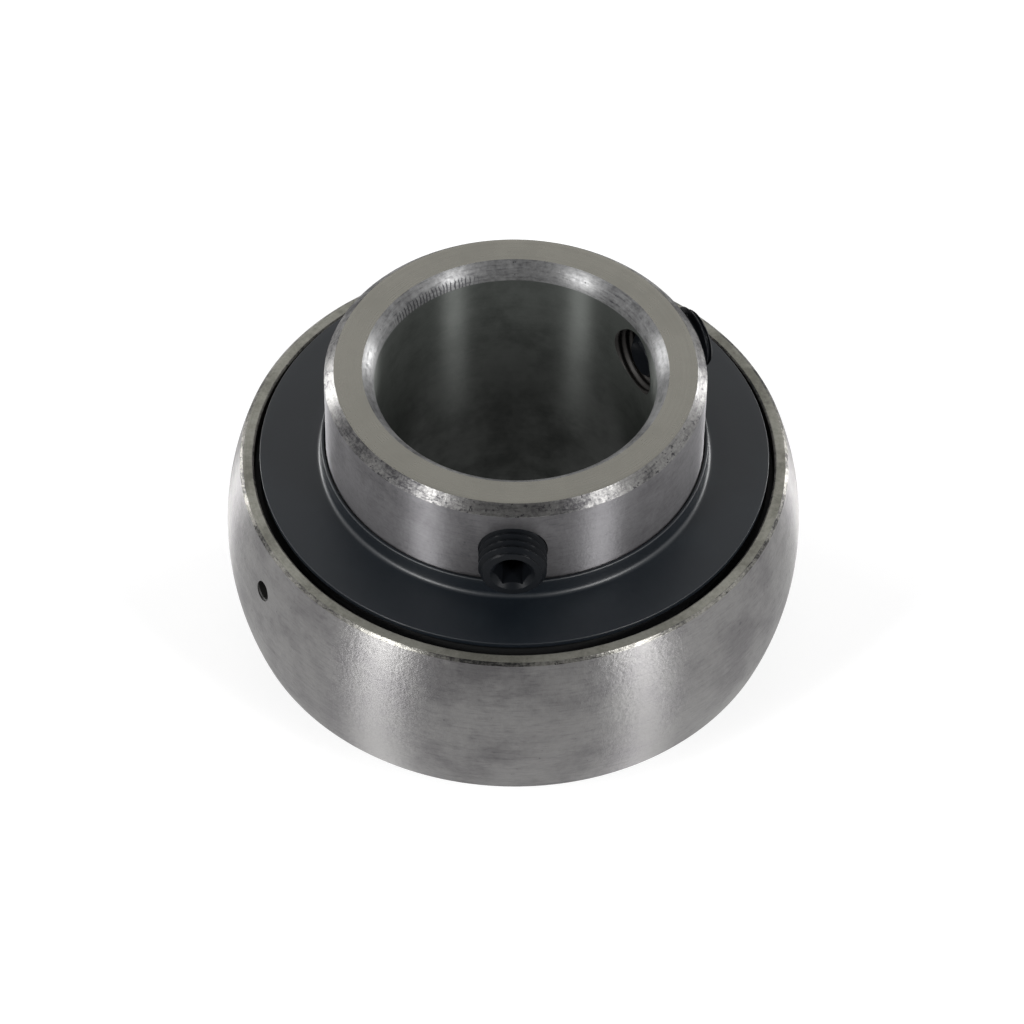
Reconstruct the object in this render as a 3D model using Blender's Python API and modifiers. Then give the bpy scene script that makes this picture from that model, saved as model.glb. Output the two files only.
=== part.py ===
"""Insert bearing: a deep-groove ball bearing with a spherical outside and set screws.

All sizes are in metres. The bearing's axis is Z and it stands on the narrow end of its
inner ring, at z = 0. The section of every turned piece is drawn as (r, z) points, with
z measured from the middle plane of the balls.
"""

import math

import bmesh
import bpy
from mathutils import Matrix

MM = 0.001

# Rings; the two walls under the ball grooves bring the sphere to its standard 26 mm radius
BORE_RADIUS = 12.5 * MM
INNER_GROOVE_WALL = 2.951 * MM
OUTER_GROOVE_WALL = 2.451 * MM
OUTER_RING_WIDTH = 17.0 * MM
OUTER_EDGE_CHAMFER = 0.2 * MM
RECESS_EDGE_CHAMFER = 0.15 * MM
INNER_END_CHAMFER = 0.85 * MM
BORE_CHAMFER_REACH = 1.05 * MM
BORE_CHAMFER_DEPTH = 1.65 * MM
NARROW_LAND = 3.3 * MM
OIL_HOLE_RADIUS = 0.9 * MM
OIL_HOLE_AZIMUTH = math.radians(-149.6)

# Balls and raceways
BALL_RADIUS = 3.969 * MM
GROOVE_RATIO = 1.04
RACE_CLEARANCE = 0.08 * MM
INNER_SHOULDER_HEIGHT = 1.45 * MM
OUTER_SHOULDER_HEIGHT = 1.35 * MM

# Ribbon cage and its rivets
CAGE_SHEET = 0.6 * MM
CAGE_WIDTH = 3.2 * MM
CAGE_POCKET_CLEARANCE = 0.25 * MM
CAGE_INNER_BEND = 0.2 * MM
CAGE_JOINT_GAP = 0.04 * MM
RIVET_RADIUS = 0.65 * MM
RIVET_HOLE_CLEARANCE = 0.1 * MM
RIVET_HEAD_OVERHANG = 0.5 * MM
RIVET_HEAD_HEIGHT = 0.6 * MM
RIVET_HEAD_ROUND = 0.4 * MM
RIVET_HEAD_FALL = 0.12 * MM
RIVET_SEAT_GAP = 0.03 * MM
RIVET_TO_POCKET = 0.05 * MM

# Seals in the outer ring
CAGE_TO_SEAL_SEAT = 0.75 * MM
SEAL_SHEET = 0.5 * MM
SEAL_RIM_HEIGHT = 1.4 * MM
SEAL_FIT_GAP = 0.05 * MM
SEAL_JOGGLE = 0.6 * MM
SEAL_JOGGLE_INSET = 1.5 * MM
LIP_SPAN = 1.6 * MM
LIP_SLOT_DEPTH = 0.8 * MM
LIP_COVER = 0.4 * MM
LIP_CLEARANCE = 0.15 * MM
LIP_TIP_HEIGHT = 0.3 * MM

# Flingers on the inner ring
FLINGER_SHEET = 0.5 * MM
FLINGER_FACE_GAP = 0.45 * MM
FLINGER_EDGE_GAP = 0.65 * MM
FLINGER_EDGE_ROUND = 0.25 * MM
FLINGER_FIT_GAP = 0.05 * MM
COLLAR_SHEET = 0.4 * MM
COLLAR_HEIGHT = 1.55 * MM
COLLAR_FILLET = 0.35 * MM
COLLAR_BEND = 0.5 * MM

# Set screws, by azimuth and by how far each stands out of the ring
SCREW_RADIUS = 3.0 * MM
SCREW_LENGTH = 6.0 * MM
SCREW_TO_FACE = 5.3 * MM
SCREW_TO_COLLAR = 0.5 * MM
SCREW_HOLE_CLEARANCE = 0.1 * MM
SCREW_END_CHAMFER = 0.5 * MM
SCREW_CUP_RADIUS = 1.6 * MM
SCREW_CUP_DEPTH = 0.7 * MM
SOCKET_ACROSS_FLATS = 3.0 * MM
SOCKET_DEPTH = 3.0 * MM
SOCKET_TURN = math.radians(30.0)
SET_SCREWS = ((-90.0, 2.6 * MM), (30.0, 2.0 * MM))

# How finely round forms are cut into facets
RING_STEPS = 48
SEAL_STEPS = 32
SMALL_STEPS = 20
RIVET_STEPS = 8
ARC_STEPS = 8
BALL_SEGMENTS = 12
BALL_RINGS = 8
DOME_STEPS = 3
RIBBON_ROWS = 3
BEND_STEPS = 2
MERGE_DISTANCE = 1e-6
SHARP_ANGLE = math.radians(32.0)
CUTTER_OVERRUN = 2.0 * MM

# Sizes that follow from the ones above
HALF_WIDTH = OUTER_RING_WIDTH / 2
INNER_RACE_RADIUS = BORE_RADIUS + INNER_GROOVE_WALL
PITCH_RADIUS = INNER_RACE_RADIUS + RACE_CLEARANCE + BALL_RADIUS
OUTER_RACE_RADIUS = PITCH_RADIUS + BALL_RADIUS + RACE_CLEARANCE
SPHERE_RADIUS = OUTER_RACE_RADIUS + OUTER_GROOVE_WALL
GROOVE_RADIUS = GROOVE_RATIO * BALL_RADIUS
INNER_RING_RADIUS = INNER_RACE_RADIUS + INNER_SHOULDER_HEIGHT
OUTER_SHOULDER_RADIUS = OUTER_RACE_RADIUS - OUTER_SHOULDER_HEIGHT
FACE_EDGE_RADIUS = math.sqrt(SPHERE_RADIUS**2 - HALF_WIDTH**2)
RECESS_RADIUS = (OUTER_SHOULDER_RADIUS + FACE_EDGE_RADIUS) / 2
POCKET_RADIUS = BALL_RADIUS + CAGE_POCKET_CLEARANCE
CAGE_LAND_Z = CAGE_JOINT_GAP / 2
POCKET_BEND = CAGE_SHEET + CAGE_INNER_BEND
POCKET_REACH = math.sqrt((POCKET_RADIUS + POCKET_BEND) ** 2 - (CAGE_LAND_Z + POCKET_BEND) ** 2)
RIVET_REACH = RIVET_RADIUS + RIVET_HEAD_OVERHANG + RIVET_TO_POCKET
BALL_COUNT = math.floor(math.pi / math.asin((POCKET_REACH + RIVET_REACH) / PITCH_RADIUS))
SEAL_SEAT_Z = POCKET_RADIUS + CAGE_SHEET + CAGE_TO_SEAL_SEAT
FLINGER_BOTTOM_Z = HALF_WIDTH + FLINGER_FACE_GAP
FLINGER_TOP_Z = FLINGER_BOTTOM_Z + FLINGER_SHEET
COLLAR_TOP_Z = FLINGER_TOP_Z + COLLAR_HEIGHT
SCREW_Z = COLLAR_TOP_Z + SCREW_TO_COLLAR + SCREW_RADIUS
WIDE_SIDE = SCREW_Z + SCREW_TO_FACE
NARROW_SIDE = COLLAR_TOP_Z + NARROW_LAND


def start_collections():
    """Clear the scene and return the collections for the bearing and for its cutters."""
    for item in list(bpy.data.objects):
        bpy.data.objects.remove(item, do_unlink=True)
    bearing = bpy.data.collections.new("insert_bearing")
    cutters = bpy.data.collections.new("cutters")
    cutters.hide_render = True
    for collection in (bearing, cutters):
        bpy.context.scene.collection.children.link(collection)
    return bearing, cutters


def make_material(name, colour, metallic, roughness):
    """A Principled BSDF material."""
    material = bpy.data.materials.new(name)
    material.use_nodes = True
    shader = material.node_tree.nodes["Principled BSDF"]
    shader.inputs["Base Color"].default_value = (*colour, 1.0)
    shader.inputs["Metallic"].default_value = metallic
    shader.inputs["Roughness"].default_value = roughness
    return material


def add_object(name, mesh, collection, parent=None, location=(0, 0, 0), rotation=(0, 0, 0)):
    """Put a mesh, or an empty when mesh is None, in the collection under its parent."""
    item = bpy.data.objects.new(name, mesh)
    item.parent = parent
    item.location = location
    item.rotation_euler = rotation
    collection.objects.link(item)
    return item


def shade_round(mesh):
    """Shade a mesh smooth, apart from its corners."""
    mesh.shade_smooth()
    mesh.set_sharp_from_angle(angle=SHARP_ANGLE)


def arc(centre_r, centre_z, radius, start, end, steps=ARC_STEPS):
    """Points (r, z) on a circle, from one angle to another, counted from +r towards +z."""
    angles = [start + (end - start) * i / steps for i in range(steps + 1)]
    return [(centre_r + radius * math.cos(a), centre_z + radius * math.sin(a)) for a in angles]


def flipped(profile):
    """The same section on the other side of the middle plane, still drawn clockwise."""
    return [(r, -z) for r, z in reversed(profile)]


def turned_mesh(name, profile, steps, closed=True):
    """Turn a clockwise (r, z) section about Z and return the mesh, shaded as a round piece."""
    section = bpy.data.meshes.new(f"{name}_section")
    count = len(profile)
    edges = [(i, (i + 1) % count) for i in range(count if closed else count - 1)]
    section.from_pydata([(r, 0.0, z) for r, z in profile], edges, [])
    item = bpy.data.objects.new(f"{name}_section", section)
    bpy.context.scene.collection.objects.link(item)
    screw = item.modifiers.new("Turn", "SCREW")
    screw.steps = steps
    screw.render_steps = steps
    screw.use_merge_vertices = True
    screw.merge_threshold = MERGE_DISTANCE
    bpy.context.view_layer.update()
    graph = bpy.context.evaluated_depsgraph_get()
    mesh = bpy.data.meshes.new_from_object(item.evaluated_get(graph))
    mesh.name = name
    bpy.data.objects.remove(item)
    bpy.data.meshes.remove(section)
    shade_round(mesh)
    return mesh


def cylinder_mesh(name, radius, depth, steps, placements=(Matrix(),)):
    """One mesh with a closed cylinder along the local Z of each placement."""
    shape = bmesh.new()
    for placement in placements:
        bmesh.ops.create_cone(
            shape, cap_ends=True, segments=steps, radius1=radius, radius2=radius,
            depth=depth, matrix=placement,
        )
    mesh = bpy.data.meshes.new(name)
    shape.to_mesh(mesh)
    shape.free()
    shade_round(mesh)
    return mesh


def cut(item, cutter):
    """Cut a solid with a cutter, which stays in the scene as a wire frame."""
    cutter.hide_render = True
    cutter.display_type = "WIRE"
    boolean = item.modifiers.new(cutter.name, "BOOLEAN")
    boolean.operation = "DIFFERENCE"
    boolean.solver = "EXACT"
    boolean.object = cutter


def radial(azimuth):
    """The rotation that lays local Z along the radius at an azimuth."""
    return (0.0, math.pi / 2, azimuth)


def on_radius(radius, azimuth, z):
    """The point at a radius, an azimuth and a height."""
    return (radius * math.cos(azimuth), radius * math.sin(azimuth), z)


def outer_ring_section():
    """Spherical outside, flat faces, seal recesses, shoulders and the outer raceway."""
    chamfer_z = HALF_WIDTH - OUTER_EDGE_CHAMFER
    sphere_angle = math.asin(chamfer_z / SPHERE_RADIUS)
    groove_centre = OUTER_RACE_RADIUS - GROOVE_RADIUS
    groove_angle = math.acos((OUTER_SHOULDER_RADIUS - groove_centre) / GROOVE_RADIUS)
    upper_recess = [
        (OUTER_SHOULDER_RADIUS, SEAL_SEAT_Z),
        (RECESS_RADIUS, SEAL_SEAT_Z),
        (RECESS_RADIUS, HALF_WIDTH - RECESS_EDGE_CHAMFER),
        (RECESS_RADIUS + RECESS_EDGE_CHAMFER, HALF_WIDTH),
    ]
    return [
        (FACE_EDGE_RADIUS - OUTER_EDGE_CHAMFER, HALF_WIDTH),
        *arc(0.0, 0.0, SPHERE_RADIUS, sphere_angle, -sphere_angle),
        (FACE_EDGE_RADIUS - OUTER_EDGE_CHAMFER, -HALF_WIDTH),
        *flipped(upper_recess),
        *arc(groove_centre, 0.0, GROOVE_RADIUS, -groove_angle, groove_angle),
        *upper_recess,
    ]


def inner_ring_section():
    """Long ring with the inner raceway, chamfered ends and a lead-in at both bore mouths."""
    groove_centre = INNER_RACE_RADIUS + GROOVE_RADIUS
    groove_angle = math.acos((groove_centre - INNER_RING_RADIUS) / GROOVE_RADIUS)
    mouth_radius = BORE_RADIUS + BORE_CHAMFER_REACH
    return [
        (INNER_RING_RADIUS - INNER_END_CHAMFER, WIDE_SIDE),
        (INNER_RING_RADIUS, WIDE_SIDE - INNER_END_CHAMFER),
        *arc(groove_centre, 0.0, GROOVE_RADIUS, math.pi - groove_angle, math.pi + groove_angle),
        (INNER_RING_RADIUS, INNER_END_CHAMFER - NARROW_SIDE),
        (INNER_RING_RADIUS - INNER_END_CHAMFER, -NARROW_SIDE),
        (mouth_radius, -NARROW_SIDE),
        (BORE_RADIUS, BORE_CHAMFER_DEPTH - NARROW_SIDE),
        (BORE_RADIUS, WIDE_SIDE - BORE_CHAMFER_DEPTH),
        (mouth_radius, WIDE_SIDE),
    ]


def flinger_section():
    """Pressed disc over the seal, with a collar turned up along the inner ring."""
    bore = INNER_RING_RADIUS + FLINGER_FIT_GAP
    collar = bore + COLLAR_SHEET
    rim = RECESS_RADIUS - FLINGER_EDGE_GAP
    fillet = arc(
        collar + COLLAR_FILLET, FLINGER_TOP_Z + COLLAR_FILLET, COLLAR_FILLET,
        math.pi, 1.5 * math.pi, BEND_STEPS,
    )
    return [
        (collar, COLLAR_TOP_Z),
        *fillet,
        (rim - FLINGER_EDGE_ROUND, FLINGER_TOP_Z),
        (rim, FLINGER_TOP_Z - FLINGER_EDGE_ROUND),
        (rim, FLINGER_BOTTOM_Z),
        (bore + COLLAR_BEND, FLINGER_BOTTOM_Z),
        (bore, FLINGER_BOTTOM_Z + COLLAR_BEND),
        (bore, COLLAR_TOP_Z),
    ]


def seal_plate_section():
    """Cupped washer that sits on the seat, joggled outwards towards its inner edge."""
    rim = RECESS_RADIUS - SEAL_FIT_GAP
    seat = SEAL_SEAT_Z + SEAL_FIT_GAP
    raised = seat + SEAL_JOGGLE
    edge = INNER_RING_RADIUS + LIP_SPAN
    joggle_out = rim - SEAL_JOGGLE_INSET
    joggle_in = joggle_out - SEAL_JOGGLE
    return [
        (rim, seat + SEAL_RIM_HEIGHT),
        (rim, seat),
        (joggle_out, seat),
        (joggle_in, raised),
        (edge, raised),
        (edge, raised + SEAL_SHEET),
        (joggle_in, raised + SEAL_SHEET),
        (joggle_out, seat + SEAL_SHEET),
        (rim - SEAL_SHEET, seat + SEAL_SHEET),
        (rim - SEAL_SHEET, seat + SEAL_RIM_HEIGHT),
    ]


def seal_lip_section():
    """Rubber bead that grips the washer's inner edge and leans its lip to the inner ring."""
    under = SEAL_SEAT_Z + SEAL_FIT_GAP + SEAL_JOGGLE
    over = under + SEAL_SHEET
    slot_bottom = INNER_RING_RADIUS + LIP_SPAN - SEAL_FIT_GAP
    bead = slot_bottom + LIP_SLOT_DEPTH
    tip = INNER_RING_RADIUS + LIP_CLEARANCE
    return [
        (bead, over + LIP_COVER),
        (bead, over + SEAL_FIT_GAP),
        (slot_bottom, over + SEAL_FIT_GAP),
        (slot_bottom, under - SEAL_FIT_GAP),
        (bead, under - SEAL_FIT_GAP),
        (bead, under - LIP_COVER),
        (slot_bottom - LIP_COVER, under - LIP_COVER),
        (tip, over),
        (tip, over + LIP_TIP_HEIGHT),
        (slot_bottom - LIP_COVER, over + LIP_COVER),
    ]


def rivet_section():
    """Shank with a domed head closed over each land of the cage."""
    seat = CAGE_LAND_Z + CAGE_SHEET + RIVET_SEAT_GAP
    top = seat + RIVET_HEAD_HEIGHT
    head = RIVET_RADIUS + RIVET_HEAD_OVERHANG
    upper = [
        (0.0, top),
        (head - RIVET_HEAD_ROUND, top - RIVET_HEAD_FALL),
        (head, seat),
        (RIVET_RADIUS, seat),
    ]
    return upper + flipped(upper)


def screw_section():
    """Set screw along Z with its outer end at z = 0, chamfered ends and a cup point."""
    return [
        (0.0, 0.0),
        (SCREW_RADIUS - SCREW_END_CHAMFER, 0.0),
        (SCREW_RADIUS, -SCREW_END_CHAMFER),
        (SCREW_RADIUS, SCREW_RADIUS - SCREW_CUP_RADIUS - SCREW_LENGTH),
        (SCREW_CUP_RADIUS, -SCREW_LENGTH),
        (0.0, SCREW_CUP_DEPTH - SCREW_LENGTH),
    ]


def ball_mesh():
    """A ball about its own centre."""
    shape = bmesh.new()
    bmesh.ops.create_uvsphere(
        shape, u_segments=BALL_SEGMENTS, v_segments=BALL_RINGS, radius=BALL_RADIUS
    )
    mesh = bpy.data.meshes.new("ball")
    shape.to_mesh(mesh)
    shape.free()
    mesh.shade_smooth()
    return mesh


def half_pocket(row_radius):
    """Points (along, up) of the ribbon's ball side, from a pocket's crown to its land.

    At this row the ball pocket is a smaller circle. It runs down to the tangent of the bend,
    and the bend runs out on to the flat land.
    """
    dome = math.sqrt(POCKET_RADIUS**2 - (row_radius - PITCH_RADIUS) ** 2)
    bend_z = CAGE_LAND_Z + POCKET_BEND
    bend_x = math.sqrt((dome + POCKET_BEND) ** 2 - bend_z**2)
    tangent = math.atan2(bend_z, bend_x)
    crown = arc(0.0, 0.0, dome, math.pi / 2, tangent, DOME_STEPS)
    foot = arc(bend_x, bend_z, POCKET_BEND, math.pi + tangent, 1.5 * math.pi, BEND_STEPS)
    return crown + foot[1:]


def ribbon_columns(row_radius):
    """The (azimuth, height) of every column of the ribbon at one row, all the way round."""
    half = [
        (2 * math.asin(along / (2 * math.sqrt(row_radius * PITCH_RADIUS))), up)
        for along, up in half_pocket(row_radius)
    ]
    pitch = 2 * math.pi / BALL_COUNT
    one_pocket = [(-a, up) for a, up in reversed(half)] + half[1:] + [(pitch / 2, CAGE_LAND_Z)]
    return [(k * pitch + a, up) for k in range(BALL_COUNT) for a, up in one_pocket]


def ribbon_mesh(side):
    """The pressed face of one cage half: a flat grid rolled into a ring and domed over the balls.

    The side is 1 for the upper half and -1 for the lower half.
    """
    first_row = PITCH_RADIUS - CAGE_WIDTH / 2
    rows = [first_row + CAGE_WIDTH * k / (RIBBON_ROWS - 1) for k in range(RIBBON_ROWS)]
    table = [ribbon_columns(radius) for radius in rows]
    columns = len(table[0])
    shape = bmesh.new()
    bmesh.ops.create_grid(shape, x_segments=columns, y_segments=RIBBON_ROWS - 1, size=0.5)
    for vertex in shape.verts:
        column = round((vertex.co.x + 0.5) * columns) % columns
        row = round((vertex.co.y + 0.5) * (RIBBON_ROWS - 1))
        azimuth, up = table[row][column]
        vertex.co = on_radius(rows[row], azimuth, side * up)
    bmesh.ops.remove_doubles(shape, verts=shape.verts, dist=MERGE_DISTANCE)
    bmesh.ops.recalc_face_normals(shape, faces=shape.faces)
    shape.normal_update()
    if sum(face.normal.z for face in shape.faces) * side < 0:
        bmesh.ops.reverse_faces(shape, faces=shape.faces)
    mesh = bpy.data.meshes.new("cage_half")
    shape.to_mesh(mesh)
    shape.free()
    shade_round(mesh)
    return mesh


def rivet_azimuths():
    """The middles of the cage's lands, halfway between the balls."""
    pitch = 2 * math.pi / BALL_COUNT
    return [(k + 0.5) * pitch for k in range(BALL_COUNT)]


def build_rings(bearing, cutters, centre, steel):
    """The outer ring with its oil hole and the inner ring with its set screw holes."""
    outer = add_object(
        "outer_ring", turned_mesh("outer_ring", outer_ring_section(), RING_STEPS), bearing, centre
    )
    outer.data.materials.append(steel["outer"])
    groove_edge_z = math.sqrt(GROOVE_RADIUS**2 - (GROOVE_RADIUS - OUTER_SHOULDER_HEIGHT) ** 2)
    land_z = (SEAL_SEAT_Z + groove_edge_z) / 2
    outer_wall = SPHERE_RADIUS - OUTER_SHOULDER_RADIUS
    oil_hole = cylinder_mesh(
        "oil_hole_cutter", OIL_HOLE_RADIUS, outer_wall + 2 * CUTTER_OVERRUN, SMALL_STEPS
    )
    middle = on_radius(OUTER_SHOULDER_RADIUS + outer_wall / 2, OIL_HOLE_AZIMUTH, land_z)
    oil_cutter = add_object(
        "oil_hole_cutter", oil_hole, cutters, centre, middle, radial(OIL_HOLE_AZIMUTH)
    )
    cut(outer, oil_cutter)

    inner = add_object(
        "inner_ring", turned_mesh("inner_ring", inner_ring_section(), RING_STEPS), bearing, centre
    )
    inner.data.materials.append(steel["inner"])
    wall = INNER_RING_RADIUS - BORE_RADIUS
    for number, (degrees, _) in enumerate(SET_SCREWS, start=1):
        azimuth = math.radians(degrees)
        name = f"screw_hole_{number}_cutter"
        hole = cylinder_mesh(
            name, SCREW_RADIUS + SCREW_HOLE_CLEARANCE, wall + 2 * CUTTER_OVERRUN, SMALL_STEPS
        )
        middle = on_radius(BORE_RADIUS + wall / 2, azimuth, SCREW_Z)
        cut(inner, add_object(name, hole, cutters, centre, middle, radial(azimuth)))


def build_balls(bearing, cage_axis, material):
    """The balls on their pitch circle, each with its origin at its own centre."""
    mesh = ball_mesh()
    mesh.materials.append(material)
    for k in range(BALL_COUNT):
        azimuth = 2 * math.pi * k / BALL_COUNT
        add_object(f"ball_{k + 1}", mesh, bearing, cage_axis, on_radius(PITCH_RADIUS, azimuth, 0.0))


def build_cage(bearing, cutters, cage_axis, sheet, wire):
    """Two pressed ribbon halves, punched and riveted together between the balls."""
    places = [on_radius(PITCH_RADIUS, azimuth, 0.0) for azimuth in rivet_azimuths()]
    holes = cylinder_mesh(
        "rivet_holes_cutter", RIVET_RADIUS + RIVET_HOLE_CLEARANCE, 2 * POCKET_RADIUS, RIVET_STEPS,
        [Matrix.Translation(place) for place in places],
    )
    punch = add_object("rivet_holes_cutter", holes, cutters, cage_axis)
    for name, side in (("cage_upper", 1), ("cage_lower", -1)):
        half = add_object(name, ribbon_mesh(side), bearing, cage_axis)
        half.data.materials.append(sheet)
        solidify = half.modifiers.new("Sheet", "SOLIDIFY")
        solidify.thickness = CAGE_SHEET
        solidify.offset = 1.0
        solidify.use_even_offset = True
        cut(half, punch)
    rivet = turned_mesh("rivet", rivet_section(), RIVET_STEPS, closed=False)
    rivet.materials.append(wire)
    for number, place in enumerate(places, start=1):
        add_object(f"cage_rivet_{number}", rivet, bearing, cage_axis, place)


def build_seals(bearing, centre, sheet, rubber, dark):
    """A seal washer, its rubber lip and a flinger on each side."""
    pieces = (
        ("seal_plate", seal_plate_section(), SEAL_STEPS, sheet),
        ("seal_lip", seal_lip_section(), SEAL_STEPS, rubber),
        ("flinger", flinger_section(), RING_STEPS, dark),
    )
    for kind, section, steps, material in pieces:
        for side, profile in (("upper", section), ("lower", flipped(section))):
            mesh = turned_mesh(f"{side}_{kind}", profile, steps)
            mesh.materials.append(material)
            add_object(f"{side}_{kind}", mesh, bearing, centre)


def build_set_screws(bearing, cutters, centre, material):
    """The hexagon-socket set screws, each with its origin on its axis at its outer end."""
    across_corners = SOCKET_ACROSS_FLATS / math.cos(math.pi / 6)
    for number, (degrees, stand_out) in enumerate(SET_SCREWS, start=1):
        azimuth = math.radians(degrees)
        name = f"set_screw_{number}"
        end = on_radius(INNER_RING_RADIUS + stand_out, azimuth, SCREW_Z)
        mesh = turned_mesh(name, screw_section(), SMALL_STEPS, closed=False)
        mesh.materials.append(material)
        screw = add_object(name, mesh, bearing, centre, end, radial(azimuth))
        hexagon = cylinder_mesh(
            f"socket_{number}_cutter", across_corners / 2, 2 * SOCKET_DEPTH, 6,
            [Matrix.Rotation(SOCKET_TURN, 4, "Z")],
        )
        cut(screw, add_object(hexagon.name, hexagon, cutters, centre, end, radial(azimuth)))


def main():
    """Build every piece about the bearing's centre."""
    bearing, cutters = start_collections()
    ground_steel = {
        "outer": make_material("ground_bearing_steel", (0.42, 0.42, 0.43), 1.0, 0.32),
        "inner": make_material("turned_bearing_steel", (0.40, 0.40, 0.40), 1.0, 0.38),
    }
    centre = add_object("bearing_centre", None, bearing, location=(0, 0, NARROW_SIDE))
    cage_axis = add_object("cage_axis", None, bearing, centre)
    build_rings(bearing, cutters, centre, ground_steel)
    build_balls(bearing, cage_axis, make_material("polished_steel", (0.62, 0.62, 0.64), 1.0, 0.08))
    build_cage(
        bearing, cutters, cage_axis,
        make_material("pressed_steel_sheet", (0.50, 0.49, 0.47), 1.0, 0.35),
        make_material("rivet_steel", (0.46, 0.46, 0.47), 1.0, 0.30),
    )
    build_seals(
        bearing, centre,
        make_material("zinc_plated_sheet", (0.45, 0.46, 0.48), 1.0, 0.35),
        make_material("nitrile_rubber", (0.02, 0.02, 0.02), 0.0, 0.60),
        make_material("blackened_sheet", (0.03, 0.035, 0.042), 0.6, 0.45),
    )
    build_set_screws(bearing, cutters, centre, make_material("black_oxide", (0.02, 0.022, 0.026), 0.7, 0.42))


main()
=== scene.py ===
"""Insert bearing with the finishes of its photograph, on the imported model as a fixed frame.

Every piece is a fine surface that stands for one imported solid, in metres and in the frame of the
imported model: the bearing's axis is Z, and it stands on the narrow end of its inner ring. The
section of a turned piece is a list of (r, z) points, with z counted from the balls' middle plane.
"""

import logging
import math
from collections.abc import Sequence
from dataclasses import dataclass, field
from enum import Enum
from functools import cache

import bmesh
import bpy
import numpy as np
from bpy.types import Material, Mesh, Node, NodeSocket, NodeTree
from mathutils import Matrix, Vector


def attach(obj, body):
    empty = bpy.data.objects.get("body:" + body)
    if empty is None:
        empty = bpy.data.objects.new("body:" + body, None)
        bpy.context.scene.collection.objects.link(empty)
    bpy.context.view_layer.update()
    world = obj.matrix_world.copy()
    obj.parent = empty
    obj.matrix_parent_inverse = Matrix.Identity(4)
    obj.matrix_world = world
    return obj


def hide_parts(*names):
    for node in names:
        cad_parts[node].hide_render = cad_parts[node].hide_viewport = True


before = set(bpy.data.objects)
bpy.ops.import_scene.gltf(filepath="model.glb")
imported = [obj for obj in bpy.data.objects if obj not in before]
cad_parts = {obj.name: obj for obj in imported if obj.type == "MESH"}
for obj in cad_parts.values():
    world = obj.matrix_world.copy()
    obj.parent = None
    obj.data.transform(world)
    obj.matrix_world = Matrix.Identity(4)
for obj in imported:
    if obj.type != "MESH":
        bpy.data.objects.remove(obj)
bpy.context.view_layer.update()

MM = 0.001
BALL_PLANE = 14.3 * MM
RING_STEPS = 360
# From this turn between two faces on, their edge is a corner and isn't shaded smooth
CORNER = math.radians(24.0)
# How much a full stain, or a coat's grain, adds to roughness
STAIN_BLUR = 0.12
LOG = logging.getLogger("insert_bearing")


# ------------------------------------------------------------------------------- finishes


def linear(colour: str) -> tuple[float, float, float, float]:
    """Turn an sRGB hex colour into linear light.

    Args:
        colour: six hex digits after a hash sign.

    Returns:
        Red, green, blue and an alpha of 1.
    """
    shares = [int(colour[i : i + 2], 16) / 255 for i in (1, 3, 5)]
    light = [s / 12.92 if s <= 0.04045 else ((s + 0.055) / 1.055) ** 2.4 for s in shares]
    return (light[0], light[1], light[2], 1.0)


def add_node(
    tree: NodeTree, kind: str, inputs: dict[str | int, object] | None = None, **settings: object
) -> NodeSocket:
    """Add a node with its settings and links.

    Args:
        tree: the node tree.
        kind: the node's type, without the prefix that all have.
        inputs: by name or number, a value or the socket that feeds the input.
        settings: properties of the node.

    Returns:
        The first output that the settings leave in use.
    """
    node = tree.nodes.new(f"ShaderNode{kind}")
    for key, value in settings.items():
        setattr(node, key, value)
    for key, value in (inputs or {}).items():
        socket = node.inputs[key] if isinstance(key, int) else next(
            s for s in node.inputs if s.name == key and s.enabled
        )
        if isinstance(value, NodeSocket):
            tree.links.new(value, socket)
        else:
            socket.default_value = value
    return next(s for s in node.outputs if s.enabled)


def new_material(name: str, shader: dict[str, object]) -> tuple[Material, Node]:
    """Start a Principled material.

    Args:
        name: the finish's name.
        shader: the values that are the same all over the surface.

    Returns:
        The material and its shader node.
    """
    material = bpy.data.materials.new(name)
    material.use_nodes = True
    principled = material.node_tree.nodes["Principled BSDF"]
    for key, value in shader.items():
        principled.inputs[key].default_value = value
    return material, principled


def round_lines(tree: NodeTree, line_mm: float, run_mm: float, seed: float = 0.0) -> NodeSocket:
    """Noise drawn out into lines that run round the bearing.

    Its fine direction counts along the section, and its slow ones are the place in the cross
    plane, so the lines close on themselves without a seam.

    Args:
        tree: the node tree.
        line_mm: distance between lines.
        run_mm: distance over which a line fades into another.
        seed: an offset that gives other lines.

    Returns:
        The noise, from 0 to 1.
    """
    place = add_node(tree, "TexCoord").node.outputs["Object"]
    across = add_node(tree, "SeparateXYZ", {0: place}).node
    along = add_node(tree, "SeparateXYZ", {0: add_node(tree, "UVMap", uv_map="lay")})
    slow = 1 / (run_mm * MM)
    x = add_node(tree, "Math", {0: across.outputs[0], 1: slow}, operation="MULTIPLY")
    y = add_node(tree, "Math", {0: across.outputs[1], 1: slow, 2: seed}, operation="MULTIPLY_ADD")
    u = add_node(tree, "Math", {0: along, 1: line_mm}, operation="DIVIDE")
    vector = add_node(tree, "CombineXYZ", {0: x, 1: y, 2: u})
    return add_node(
        tree, "TexNoise", {"Vector": vector, "Scale": 1.0, "Detail": 2.0, "Roughness": 0.6}
    )


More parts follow.
